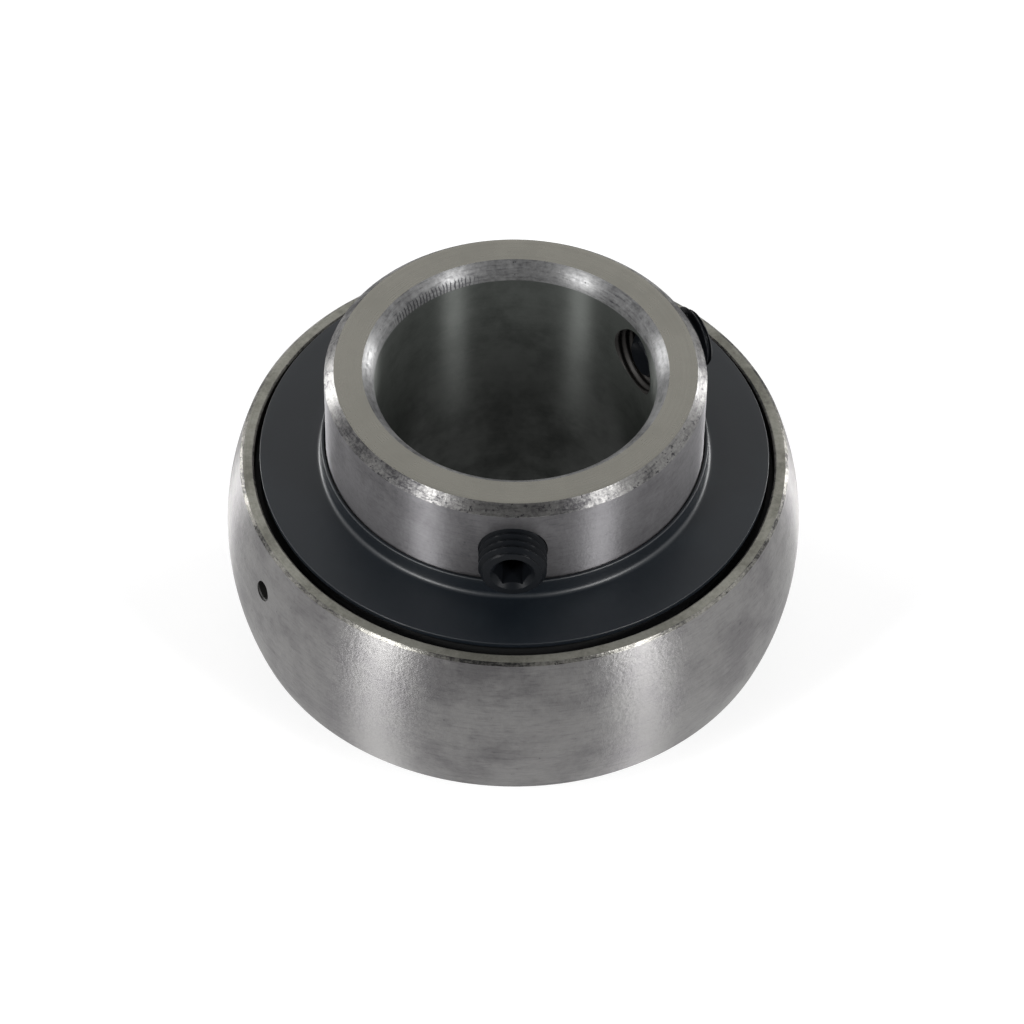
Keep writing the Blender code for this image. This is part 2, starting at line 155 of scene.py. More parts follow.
@dataclass(frozen=True)
class WorkedSteel:
    """Through-hardened bearing steel with the marks of the tool that made the surface.

    Its lines run round the bearing, so a highlight spreads across them, along the section.

    Attributes:
        name: the finish's name.
        colour: the clean metal.
        stain: the metal under handling marks and oil.
        roughness: how far a clean surface blurs a reflection.
        spread: how much more it blurs across the lines than along them.
        metallic: 1 for bare metal, less under a film of oil and dirt.
        line_mm: distance between the lines.
        line_um: depth of the lines.
        line_tone: share of stain in the lines.
        dash_um: depth of the short broken lines among them.
        dash_tone: share of stain in the broken lines.
        grain_mm: size of the grain, drawn coarser than it is, so that it shows.
        grain_um: depth of the grain.
        grain_tone: share of stain in the grain.
        stained: share of stain where the blotches are darkest.
        pitted: share of pits.
        nick_um: depth of the few nicks.
        ticked: share of stain in the chatter ticks at the far left.
    """

    name: str
    colour: str
    stain: str
    roughness: float
    spread: float
    metallic: float = 1.0
    line_mm: float = 0.3
    line_um: float = 0.6
    line_tone: float = 0.12
    dash_um: float = 0.0
    dash_tone: float = 0.0
    grain_mm: float = 0.5
    grain_um: float = 0.0
    grain_tone: float = 0.0
    stained: float = 0.5
    pitted: float = 0.0
    nick_um: float = 0.0
    ticked: float = 0.0

    @cache
    def material(self) -> Material:
        """Build the finish: stain darkens the metal and blurs it, and relief breaks it up.

        Returns:
            The material.
        """
        material, shader = new_material(
            self.name, {"Metallic": self.metallic, "Anisotropic": self.spread}
        )
        tree = material.node_tree
        place = add_node(tree, "TexCoord").node.outputs["Object"]
        lines = round_lines(tree, self.line_mm, 60.0)
        dashes = round_lines(tree, self.line_mm * 0.6, 1.2, 7.0)
        grain = add_node(
            tree, "TexNoise",
            {"Vector": place, "Scale": 1 / (self.grain_mm * MM), "Detail": 4.0, "Roughness": 0.7},
        )
        dents = self.dents(tree, place)
        dull = self.dullness(tree, place, (lines, dashes, grain, dents))
        colour = add_node(
            tree, "Mix", {"Factor": dull, "A": linear(self.colour), "B": linear(self.stain)},
            data_type="RGBA",
        )
        rough = add_node(
            tree, "Math", {0: dull, 1: STAIN_BLUR, 2: self.roughness}, operation="MULTIPLY_ADD"
        )
        height: NodeSocket | float = 0.0
        for pattern, depth in (
            (lines, self.line_um), (dashes, self.dash_um), (grain, self.grain_um),
            (dents, -self.nick_um),
        ):
            height = add_node(
                tree, "Math", {0: pattern, 1: depth, 2: height}, operation="MULTIPLY_ADD"
            )
        relief = add_node(tree, "Bump", {"Height": height, "Distance": 1e-6})
        lay = add_node(tree, "Tangent", direction_type="UV_MAP", uv_map="lay")
        for key, socket in (
            ("Base Color", colour), ("Roughness", rough), ("Normal", relief), ("Tangent", lay)
        ):
            tree.links.new(socket, shader.inputs[key])
        return material

    def dullness(
        self, tree: NodeTree, place: NodeSocket, marks: Sequence[NodeSocket]
    ) -> NodeSocket:
        """Add up the stain of 6 mm blotches, lines, broken lines, grain, dents, pits and ticks.

        Args:
            tree: the node tree.
            place: the object coordinates.
            marks: the patterns of the lines, the broken lines, the grain and the dents.

        Returns:
            The share of stain, from 0 to 1.
        """
        lines, dashes, grain, dents = marks
        blotches, pits = (
            add_node(
                tree, "TexNoise",
                {"Vector": place, "Scale": 1 / (size * MM), "Detail": detail, "Roughness": fine},
            )
            for size, detail, fine in ((6.0, 5.0, 0.65), (0.5, 2.0, 0.7))
        )
        # Each pattern, its values where stain begins and is full, and the share of full stain
        parts = [
            (blotches, 0.38, 0.68, self.stained), (lines, 0.35, 0.75, self.line_tone),
            (dashes, 0.48, 0.75, self.dash_tone), (grain, 0.30, 0.75, self.grain_tone),
        ]
        if self.nick_um:
            parts.append((dents, 0.1, 0.8, 1.0))
        if self.pitted:
            begins = 0.75 - 0.13 * self.pitted
            parts.append((pits, begins, begins + 0.05, 1.0))
        if self.ticked:
            parts.append((self.ticks(tree, place), 0.1, 0.7, self.ticked))
        dull: NodeSocket | float = 0.0
        for pattern, low, high, top in parts:
            part = add_node(
                tree, "MapRange", {0: pattern, 1: low, 2: high, 4: top},
                interpolation_type="SMOOTHSTEP",
            )
            dull = add_node(tree, "Math", {0: part, 1: dull}, operation="ADD", use_clamp=True)
        return dull

    def dents(self, tree: NodeTree, place: NodeSocket) -> NodeSocket:
        """Scatter round dents 0.5 mm wide, in about half of the cells of a 5 mm net.

        Args:
            tree: the node tree.
            place: the object coordinates.

        Returns:
            The depth's share, from 0 to 1.
        """
        cells = add_node(tree, "TexVoronoi", {"Vector": place, "Scale": 1 / (5 * MM)})
        chosen = add_node(
            tree, "Math", {0: cells.node.outputs["Color"], 1: 0.5}, operation="GREATER_THAN"
        )
        dent = add_node(
            tree, "MapRange", {0: cells, 1: 0.05, 2: 0.01}, interpolation_type="SMOOTHSTEP"
        )
        return add_node(tree, "Math", {0: dent, 1: chosen}, operation="MULTIPLY")

    def ticks(self, tree: NodeTree, place: NodeSocket) -> NodeSocket:
        """Short ticks across the lines, 0.5 mm apart, low in the lead-in at the far left.

        They are the sine of the way round, times one share that grows along the direction to
        the far left and another that falls with height.

        Args:
            tree: the node tree.
            place: the object coordinates.

        Returns:
            The ripple, from -1 to 1.
        """
        spacing_mm, wander, ring = 0.5, 7.0, 14 * MM
        far_left = (-0.62 / ring, 0.78 / ring, 0.0)
        lay = add_node(tree, "SeparateXYZ", {0: add_node(tree, "UVMap", uv_map="lay")})
        wobble = add_node(
            tree, "TexNoise", {"Vector": place, "Scale": 1 / (0.8 * MM), "Detail": 2.0}
        )
        wobble = add_node(tree, "Math", {0: wobble, 1: wander}, operation="MULTIPLY")
        turn = add_node(
            tree, "Math", {0: lay.node.outputs[1], 1: 2 * math.pi / spacing_mm, 2: wobble},
            operation="MULTIPLY_ADD",
        )
        ripple = add_node(tree, "Math", {0: turn}, operation="SINE")
        side = add_node(
            tree, "VectorMath", {0: place, 1: far_left},
            operation="DOT_PRODUCT",
        )
        height = add_node(tree, "SeparateXYZ", {0: place}).node.outputs[2]
        # Shares of the way to the far left, and heights, where ticks begin and are full
        for where, low, high in ((side, 0.78, 0.91), (height, 33.7 * MM, 33.0 * MM)):
            share = add_node(
                tree, "MapRange", {0: where, 1: low, 2: high}, interpolation_type="SMOOTHSTEP"
            )
            ripple = add_node(tree, "Math", {0: ripple, 1: share}, operation="MULTIPLY")
        return ripple


@dataclass(frozen=True)
class CoatedSteel:
    """A piece under a thin coat, or moulded: blacking, black oxide, zinc or rubber.

    Attributes:
        name: the finish's name.
        colour: the coat.
        worn: the coat where it is rubbed.
        roughness: how far a reflection blurs.
        metallic: 1 for a metal coat.
        ior: index of refraction of a coat that isn't metal.
        grain_mm: size of the grain.
        grain_um: depth of the grain.
        rubbed: share of rubbed places.
    """

    name: str
    colour: str
    worn: str
    roughness: float
    metallic: float = 0.0
    ior: float = 1.5
    grain_mm: float = 0.4
    grain_um: float = 2.0
    rubbed: float = 0.4

    @cache
    def material(self) -> Material:
        """Build the finish from a fine grain and soft rubbed patches.

        Returns:
            The material.
        """
        material, shader = new_material(self.name, {"Metallic": self.metallic, "IOR": self.ior})
        tree = material.node_tree
        place = add_node(tree, "TexCoord").node.outputs["Object"]
        grain, patches = (
            add_node(
                tree, "TexNoise",
                {"Vector": place, "Scale": 1 / (size * MM), "Detail": detail, "Roughness": 0.6},
            )
            for size, detail in ((self.grain_mm, 3.0), (4.0, 5.0))
        )
        rubbed = add_node(
            tree, "MapRange", {0: patches, 1: 0.45, 2: 0.75, 4: self.rubbed},
            interpolation_type="SMOOTHSTEP",
        )
        colour = add_node(
            tree, "Mix", {"Factor": rubbed, "A": linear(self.colour), "B": linear(self.worn)},
            data_type="RGBA",
        )
        rough = add_node(
            tree, "Math", {0: grain, 1: STAIN_BLUR, 2: self.roughness - STAIN_BLUR / 2},
            operation="MULTIPLY_ADD",
        )
        relief = add_node(tree, "Bump", {"Height": grain, "Distance": self.grain_um * 1e-6})
        for key, socket in (("Base Color", colour), ("Roughness", rough), ("Normal", relief)):
            tree.links.new(socket, shader.inputs[key])
        return material


class Zone(Enum):
    """The surfaces of the bearing, each with the finish that its maker gave it; the oil hole, the
    seal washers and the bore also carry painted shade in their colour.
    """

    # Through-feed ground steel: soft satin, with bright bands up it that are ragged and worn.
    SPHERE = WorkedSteel(
        "through_feed_ground_steel", "#868584", "#6A686A", 0.33, 1.0, dash_um=4.0, dash_tone=0.3,
        grain_um=24.0, grain_tone=0.16, stained=0.5, pitted=0.25, nick_um=8.0,
    )
    # The same grinding on the inner ring, darker where hands and oil have been.
    WALL = WorkedSteel(
        "plunge_ground_steel", "#717072", "#535254", 0.38, 1.0, metallic=0.8, dash_um=3.0,
        dash_tone=0.25, grain_mm=0.4, grain_um=14.0, grain_tone=0.3, stained=0.6, pitted=0.3,
        nick_um=8.0,
    )
    # Face-ground steel: an even, slightly olive grey with very fine circular lines.
    FACE = WorkedSteel(
        "face_ground_steel", "#88867E", "#7A7871", 0.24, 0.3, metallic=0.6, line_mm=0.2,
        line_um=0.2,
        line_tone=0.3, grain_mm=0.8, grain_tone=0.15, stained=0.4,
    )
    # The outer ring's side: ground too, duller, with an olive film of old oil.
    RIM = WorkedSteel(
        "side_ground_steel", "#9F9E95", "#74736B", 0.40, 0.3, metallic=0.8, line_um=0.3,
        grain_mm=0.5,
        grain_um=4.0, grain_tone=0.5, stained=0.7, pitted=0.2,
    )
    # The outer ring's edge, worn bright in broken flecks where light catches it.
    WORN = WorkedSteel(
        "worn_ring_edge", "#ABA9A2", "#4A4949", 0.32, 1.0, dash_um=6.0, dash_tone=0.5, grain_mm=0.3,
        grain_um=16.0, grain_tone=0.6, stained=0.6, pitted=0.7, nick_um=10.0,
    )
    # Chamfered edge knocked in handling: dark and speckled, with bright breaks where it shines.
    EDGE = WorkedSteel(
        "nicked_turned_edge", "#8C8B89", "#464547", 0.36, 0.9, dash_um=6.0, dash_tone=0.4,
        grain_mm=0.25, grain_um=12.0, grain_tone=0.5, stained=0.8, pitted=0.9, nick_um=10.0,
    )
    # Honed bore under a film of oil, mottled and never quite black; its darker, faintly green
    # colour is partly painted shade of the inside of the bore.
    BORE_OIL_AND_SHADE = WorkedSteel(
        "honed_bore_oil_and_painted_shade", "#535653", "#3F423F", 0.35, 1.0, metallic=0.5, line_um=0.3,
        grain_mm=1.4, grain_um=6.0, grain_tone=0.25, stained=0.9,
    )
    # Turned lead-in of the bore, with chatter left by the tool.
    MOUTH = WorkedSteel(
        "chattered_turned_chamfer", "#8E8E8E", "#404042", 0.40, 0.9, metallic=0.6, dash_um=4.0,
        dash_tone=0.35, grain_mm=0.45, grain_um=10.0, grain_tone=0.4, stained=0.5, pitted=0.3,
        ticked=0.9,
    )
    # Turned and hardened walls that are never ground: grey-brown and dull.
    TURNED = WorkedSteel(
        "hard_turned_steel", "#5C5854", "#403D3A", 0.42, 0.4, line_um=3.0, dash_um=2.0, stained=0.7
    )
    # Superfinished raceway: nearly a mirror.
    RACEWAY = WorkedSteel(
        "superfinished_raceway", "#8C8C8F", "#7C7C80", 0.12, 0.5, line_um=0.2, stained=0.3
    )
    # Drilled and tapped holes: dark with old oil.
    DRILLED = WorkedSteel(
        "tapped_hole", "#403E3C", "#2A2827", 0.55, 0.0, metallic=0.5, dash_um=2.0, stained=0.8
    )
    # Oil hole: near black, painted shade of the inside of the narrow hole.
    OIL_HOLE_SHADE = WorkedSteel(
        "oil_hole_painted_shade", "#1F1E1C", "#100F0E", 0.50, 0.0, metallic=0.3, dash_um=2.0, stained=0.8
    )
    # Lapped ball steel: a bright mirror.
    BALL = WorkedSteel(
        "lapped_ball_steel", "#9A9A9D", "#929295", 0.06, 0.0, line_um=0.05, stained=0.2
    )
    # Cold-rolled strip, pressed: soft grey with faint drag marks.
    STRIP = WorkedSteel(
        "pressed_cold_rolled_strip", "#8A8781", "#6F6B66", 0.30, 0.2, line_mm=0.5, line_um=1.5,
        dash_um=1.0, stained=0.6,
    )
    # Rivet wire with closed heads: brighter on the dome.
    RIVET = WorkedSteel(
        "headed_rivet_wire", "#8C8B88", "#6D6A66", 0.24, 0.1, dash_um=0.8, stained=0.5
    )
    # Chemically blacked sheet: near black, with a soft gloss that turns slate where light falls.
    BLACKED = CoatedSteel("chemically_blacked_sheet", "#0B1117", "#141B20", 0.40, ior=1.52)
    # Black oxide on an alloy screw: deep black under oil, with small sharp glints.
    OXIDE = CoatedSteel(
        "black_oxide_screw", "#101215", "#191B1E", 0.36, ior=1.16, grain_mm=0.25, grain_um=8.0
    )
    # Zinc-plated seal washer, dull: its near black is painted shade, standing for the shade down
    # the gap between flinger and outer ring.
    ZINC_AS_GAP_SHADE = CoatedSteel("zinc_painted_gap_shade", "#0B0C0D", "#121314", 0.55, ior=1.3, grain_mm=0.6)
    # Moulded nitrile rubber: matt black.
    RUBBER = CoatedSteel(
        "moulded_nitrile_rubber", "#161616", "#242322", 0.62, ior=1.52, grain_mm=0.3
    )


# -------------------------------------------------------------------------------- surfaces


def placed(points: np.ndarray, place: Matrix) -> np.ndarray:
    """Move points by a transform.

    Args:
        points: positions, shaped (..., 3).
        place: the transform.

    Returns:
        The moved positions.
    """
    matrix = np.array(place)
    return points @ matrix[:3, :3].T + matrix[:3, 3]


def on_radius(degrees: float, radius: float, z: float) -> Matrix:
    """The place of something that lies along a radius of the bearing.

    Its own Z points outward, its X runs round the bearing and its Y points up.

    Args:
        degrees: the azimuth.
        radius: how far its origin is from the axis.
        z: its height above the balls' middle plane.

    Returns:
        The transform.
    """
    a = math.radians(degrees)
    out, up = Vector((math.cos(a), math.sin(a), 0)), Vector((0, 0, 1))
    place = Matrix((up.cross(out), up, out)).transposed().to_4x4()
    place.translation = out * radius + up * z
    return place


def mended(mesh: Mesh) -> Mesh:
    """Merge doubled points, turn faces outward and shade smooth apart from corners.

    Args:
        mesh: the mesh.

    Returns:
        The same mesh.
    """
    shape = bmesh.new()
    shape.from_mesh(mesh)
    bmesh.ops.remove_doubles(shape, verts=shape.verts, dist=1e-7)
    bmesh.ops.recalc_face_normals(shape, faces=shape.faces)
    shape.to_mesh(mesh)
    shape.free()
    mesh.shade_smooth()
    mesh.set_sharp_from_angle(angle=CORNER)
    return mesh


def grid_mesh(name: str, points: np.ndarray, zones: Sequence[Zone], closed: bool = True) -> Mesh:
    """Skin a grid of points whose last column joins its first.

    The UV map "lay" counts millimetres along a column and round the piece.

    Args:
        name: the mesh's name.
        points: positions, shaped (columns, rows, 3), with z from the balls' middle plane.
        zones: the finish of each row of faces.
        closed: whether the last row joins the first one too.

    Returns:
        The mesh, with doubled points merged, faces outward and its finishes on it.
    """
    columns, rows, _ = points.shape
    spans = rows if closed else rows - 1
    i, j = (a.ravel() for a in np.meshgrid(np.arange(columns), np.arange(spans), indexing="ij"))
    right, on = (i + 1) % columns, (j + 1) % rows
    corners = np.stack([i * rows + j, i * rows + on, right * rows + on, right * rows + j], axis=1)
    lifted = points + np.array([0, 0, BALL_PLANE])
    mesh = bpy.data.meshes.new(name)
    mesh.from_pydata(lifted.reshape(-1, 3), [], corners)

    steps = np.linalg.norm(np.diff(points[0], axis=0, append=points[:1, 0]), axis=1)
    along = np.concatenate([[0], np.cumsum(steps)]) / MM
    hops = np.linalg.norm(np.diff(points, axis=0, append=points[:1]), axis=2)
    girth = hops.sum(axis=0).max() / MM
    around = np.arange(columns + 1) / columns * girth
    corner_u = np.stack([along[j], along[j + 1], along[j + 1], along[j]], axis=1)
    corner_v = np.stack([around[i], around[i], around[i + 1], around[i + 1]], axis=1)
    layer = mesh.uv_layers.new(name="lay")
    layer.data.foreach_set("uv", np.stack([corner_u, corner_v], axis=2).astype(np.float32).ravel())

    names = list(dict.fromkeys(zones))
    numbers = np.array([names.index(zone) for zone in zones])
    for zone in names:
        mesh.materials.append(zone.value.material())
    mesh.polygons.foreach_set("material_index", numbers[j].astype(np.int32))
    return mended(mesh)


@dataclass
class Section:
    """The (r, z) outline of a turned piece, drawn in order, with the finish of each stretch."""

    points: list[tuple[float, float]] = field(default_factory=list)
    zones: list[Zone] = field(default_factory=list)

    def line(self, r: float, z: float, zone: Zone, steps: int = 1) -> "Section":
        """Go straight to a point, or start there.

        Args:
            r: the point's radius.
            z: the point's height.
            zone: the finish of this stretch.
            steps: how many stretches it is cut into.

        Returns:
            This section.
        """
        if self.points:
            start = np.array(self.points[-1])
            shares = np.linspace(0, 1, steps + 1)[1:, None]
            self.points += [
                (float(a), float(b)) for a, b in start + (np.array([r, z]) - start) * shares
            ]
            self.zones += [zone] * steps
        else:
            self.points.append((r, z))
        return self

    def arc(
        self, r: float, z: float, radius: float, start: float, end: float, zone: Zone,
        steps: int = 12
    ) -> "Section":
        """Go to the start of a circle's arc, then round it.

        Args:
            r: radius at which the circle's centre stands.
            z: its centre's height.
            radius: its radius.
            start: first angle in degrees, from outward towards up.
            end: last angle in degrees.
            zone: the finish of this stretch.
            steps: how many stretches it is cut into.

        Returns:
            This section.
        """
        angles = np.radians(np.linspace(start, end, steps + 1))
        ring = np.stack([r + radius * np.cos(angles), z + radius * np.sin(angles)], axis=1)
        self.line(float(ring[0, 0]), float(ring[0, 1]), zone)
        self.points += [(float(a), float(b)) for a, b in ring[1:]]
        self.zones += [zone] * steps
        return self

    def rounded(
        self, corners: Sequence[tuple[float, float, float, Zone]], edge: Zone, steps: int = 4
    ) -> "Section":
        """Go along straight stretches whose corners are rounded.

        A rounding is the circle that touches both stretches of its corner: its centre lies on
        the line that halves the corner, at the radius over the sine of the half angle.

        Args:
            corners: (r, z, rounding, finish of the stretch up to it); the first, where nothing
                is drawn yet, and the last aren't rounded.
            edge: the finish of the roundings.
            steps: how many stretches a rounding has.

        Returns:
            This section.
        """
        for (r, z, radius, zone), (next_r, next_z, _, _) in zip(corners, corners[1:]):
            if not self.points or radius == 0:
                self.line(r, z, zone)
                continue
            corner = np.array([r, z])
            back = np.array(self.points[-1]) - corner
            ahead = np.array([next_r, next_z]) - corner
            back, ahead = back / np.linalg.norm(back), ahead / np.linalg.norm(ahead)
            half = math.acos(float(np.clip(back @ ahead, -1, 1))) / 2
            middle = back + ahead
            centre = corner + middle / np.linalg.norm(middle) * radius / math.sin(half)
            reach = radius / math.tan(half)
            first, last = corner + back * reach - centre, corner + ahead * reach - centre
            start = math.degrees(math.atan2(first[1], first[0]))
            turn = (math.degrees(math.atan2(last[1], last[0])) - start + 180) % 360 - 180
            self.line(*(float(v) for v in centre + first), zone)
            self.arc(float(centre[0]), float(centre[1]), radius, start, start + turn, edge, steps)
        r, z, _, zone = corners[-1]
        return self.line(r, z, zone)

    def flipped(self) -> "Section":
        """The same open outline below the middle plane, drawn backwards."""
        return Section([(r, -z) for r, z in reversed(self.points)], self.zones[::-1])

    def then(self, other: "Section", zone: Zone) -> "Section":
        """Go straight to the start of another outline and along it.

        Args:
            other: the outline that follows.
            zone: the finish of the straight stretch up to it.

        Returns:
            This section.
        """
        self.zones += [zone, *other.zones]
        self.points += other.points
        return self

    def turned(
        self, name: str, steps: int = RING_STEPS, close: Zone | None = None,
        place: Matrix = Matrix()
    ) -> Mesh:
        """Turn the outline about Z.

        The point at radius r and azimuth a stands at (r cos a, r sin a, z).

        Args:
            name: the mesh's name.
            steps: how many steps the turn has.
            close: the finish of the stretch that closes the outline; without it, the outline
                starts and ends on the axis.
            place: where the turned piece goes.

        Returns:
            The mesh.
        """
        outline = np.array(self.points)
        azimuth = (np.arange(steps) * 2 * math.pi / steps)[:, None]
        points = np.stack(
            [np.cos(azimuth) * outline[:, 0], np.sin(azimuth) * outline[:, 0],
             np.broadcast_to(outline[:, 1], (steps, len(outline)))], axis=2,
        )
        zones = self.zones if close is None else [*self.zones, close]
        return grid_mesh(name, placed(points, place), zones, close is not None)


def bored(mesh: Mesh, tools: Sequence[Mesh]) -> Mesh:
    """Cut tools out of a solid.

    Args:
        mesh: the solid.
        tools: the closed cutters, whose finish the cut walls take.

    Returns:
        The cut mesh.
    """
    items = []
    for shape in (mesh, *tools):
        item = bpy.data.objects.new(shape.name, shape)
        bpy.context.scene.collection.objects.link(item)
        items.append(item)
    for cutter in items[1:]:
        cut = items[0].modifiers.new(cutter.name, "BOOLEAN")
        cut.operation, cut.solver, cut.object = "DIFFERENCE", "EXACT", cutter
        cut.material_mode = "TRANSFER"
    bpy.context.view_layer.update()
    solid = items[0].evaluated_get(bpy.context.evaluated_depsgraph_get())
    result = bpy.data.meshes.new_from_object(solid)
    for item in items:
        bpy.data.objects.remove(item)
    result.shade_smooth()
    result.set_sharp_from_angle(angle=CORNER)
    return result


def show(node: str, mesh: Mesh, body: str) -> None:
    """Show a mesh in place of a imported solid.

    Args:
        node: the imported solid's name.
        mesh: the finished mesh.
        body: the body that it rides on.
    """
    piece = bpy.data.objects.new(f"{node}_finished", mesh)
    bpy.context.scene.collection.objects.link(piece)
    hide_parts(node)
    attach(piece, body)
    LOG.info("%s: %d faces, rides on %s", piece.name, len(mesh.polygons), body)


# ----------------------------------------------------------------------------- the bearing


@dataclass(frozen=True)
class Sizes:
    """Sizes that several pieces share."""

    bore: float = 12.5 * MM
    inner_race: float = 15.451 * MM
    inner_wall: float = 16.901 * MM
    pitch: float = 19.5 * MM
    ball: float = 3.969 * MM
    groove: float = 4.128 * MM
    shoulder: float = 22.199 * MM
    recess: float = 23.385 * MM
    outer_race: float = 23.549 * MM
    sphere: float = 26.0 * MM
    half_width: float = 8.5 * MM
    seal_seat: float = 5.569 * MM
    wide_side: float = 19.8 * MM
    narrow_side: float = 14.3 * MM
    screw_height: float = 14.5 * MM
    balls: int = 9

    def on_pitch(self, k: float) -> Matrix:
        """Where ball k stands on the pitch circle, or with k + 0.5 the land after it."""
        azimuth = k * 2 * math.pi / self.balls
        return Matrix.Translation(
            (self.pitch * math.cos(azimuth), self.pitch * math.sin(azimuth), 0)
        )


@dataclass
class OuterRing:
    """The ring with the spherical outside, its seal recesses and its raceway."""

    sizes: Sizes
    chamfer: float = 0.2 * MM
    recess_chamfer: float = 0.15 * MM
    oil_hole: float = 0.9 * MM
    oil_hole_height: float = 4.31 * MM
    oil_hole_azimuth: float = -149.6
    flare: float = 0.08 * MM

    def section(self) -> Section:
        """Draw the ring from its upper face down the sphere and back up through its bore.

        Returns:
            The outline, which closes along the upper face.
        """
        s = self.sizes
        face_edge = math.sqrt(s.sphere**2 - s.half_width**2) - self.chamfer
        edge_z = s.half_width - self.chamfer
        edge_angle = math.degrees(math.asin(edge_z / s.sphere))
        race_angle = math.degrees(math.acos((s.shoulder - s.outer_race + s.groove) / s.groove))
        rim = Section().line(face_edge - 0.2 * MM, s.half_width, Zone.RIM)
        rim.rounded(
            [(face_edge, s.half_width, 0.1 * MM, Zone.RIM),
             (math.sqrt(s.sphere**2 - edge_z**2), edge_z, 0, Zone.WORN)], Zone.WORN,
        )
        mouth = s.recess + self.recess_chamfer
        recess = Section().line(s.shoulder, s.seal_seat - 0.6 * MM, Zone.TURNED)
        recess.rounded(
            [(s.shoulder, s.seal_seat, 0.1 * MM, Zone.TURNED),
             (s.recess, s.seal_seat, 0.15 * MM, Zone.TURNED),
             (s.recess, s.half_width - self.recess_chamfer, 0.05 * MM, Zone.TURNED),
             (mouth, s.half_width, 0.03 * MM, Zone.WORN),
             (mouth + 0.1 * MM, s.half_width, 0, Zone.RIM)], Zone.WORN,
        )
        race = Section().arc(
            s.outer_race - s.groove, 0, s.groove, -race_angle, race_angle, Zone.RACEWAY, 28
        )
        ring = Section(list(rim.points), list(rim.zones))
        ring.arc(0, 0, s.sphere, edge_angle, -edge_angle, Zone.SPHERE, 52)
        ring.then(rim.flipped(), Zone.WORN).then(recess.flipped(), Zone.RIM)
        return ring.then(race, Zone.TURNED).then(recess, Zone.TURNED)

    def build(self) -> None:
        """Turn the ring, drill its oil hole with a slight flare and show it."""
        s = self.sizes
        ring = self.section().turned("outer_ring_surface", close=Zone.RIM)
        outside = math.sqrt(s.sphere**2 - self.oil_hole_height**2)
        # The drill runs past the ring's wall at both ends
        # The drill's walls take the near black that paints the oil hole's shade
        bottom, top, z = s.shoulder - 1.5 * MM - outside, 1.2 * MM, Zone.OIL_HOLE_SHADE
        drill = Section().line(0, bottom, z).line(self.oil_hole, bottom, z)
        drill.line(self.oil_hole, -self.flare, z, 6)
        drill.line(self.oil_hole + self.flare, 0, z)
        drill.line(self.oil_hole + 4 * self.flare, top, z).line(0, top, z)
        place = on_radius(self.oil_hole_azimuth, outside, self.oil_hole_height)
        tool = drill.turned("oil_hole_drill", 40, place=place)
        show("outer_ring", bored(ring, [tool]), "outer")


@dataclass(frozen=True)
class Thread:
    """A screw thread: a ridge that climbs one pitch each turn.

    At height z and angle a, the share of the pitch is the fractional part of z / pitch plus
    a / full turn, and the ridge rises and falls straight between flat roots and crests.
    """

    pitch: float = 0.75 * MM
    flat: float = 0.125

    def ridge(self, z: np.ndarray, angle: np.ndarray) -> np.ndarray:
        """How high the thread stands.

        Args:
            z: heights along the thread's axis.
            angle: angles about it.

        Returns:
            0 at a root and 1 at a crest.
        """
        share = (z / self.pitch + angle / (2 * math.pi)) % 1.0
        away = np.abs(2 * share - 1)
        return np.clip((1 - away - self.flat) / (1 - 2 * self.flat), 0, 1)


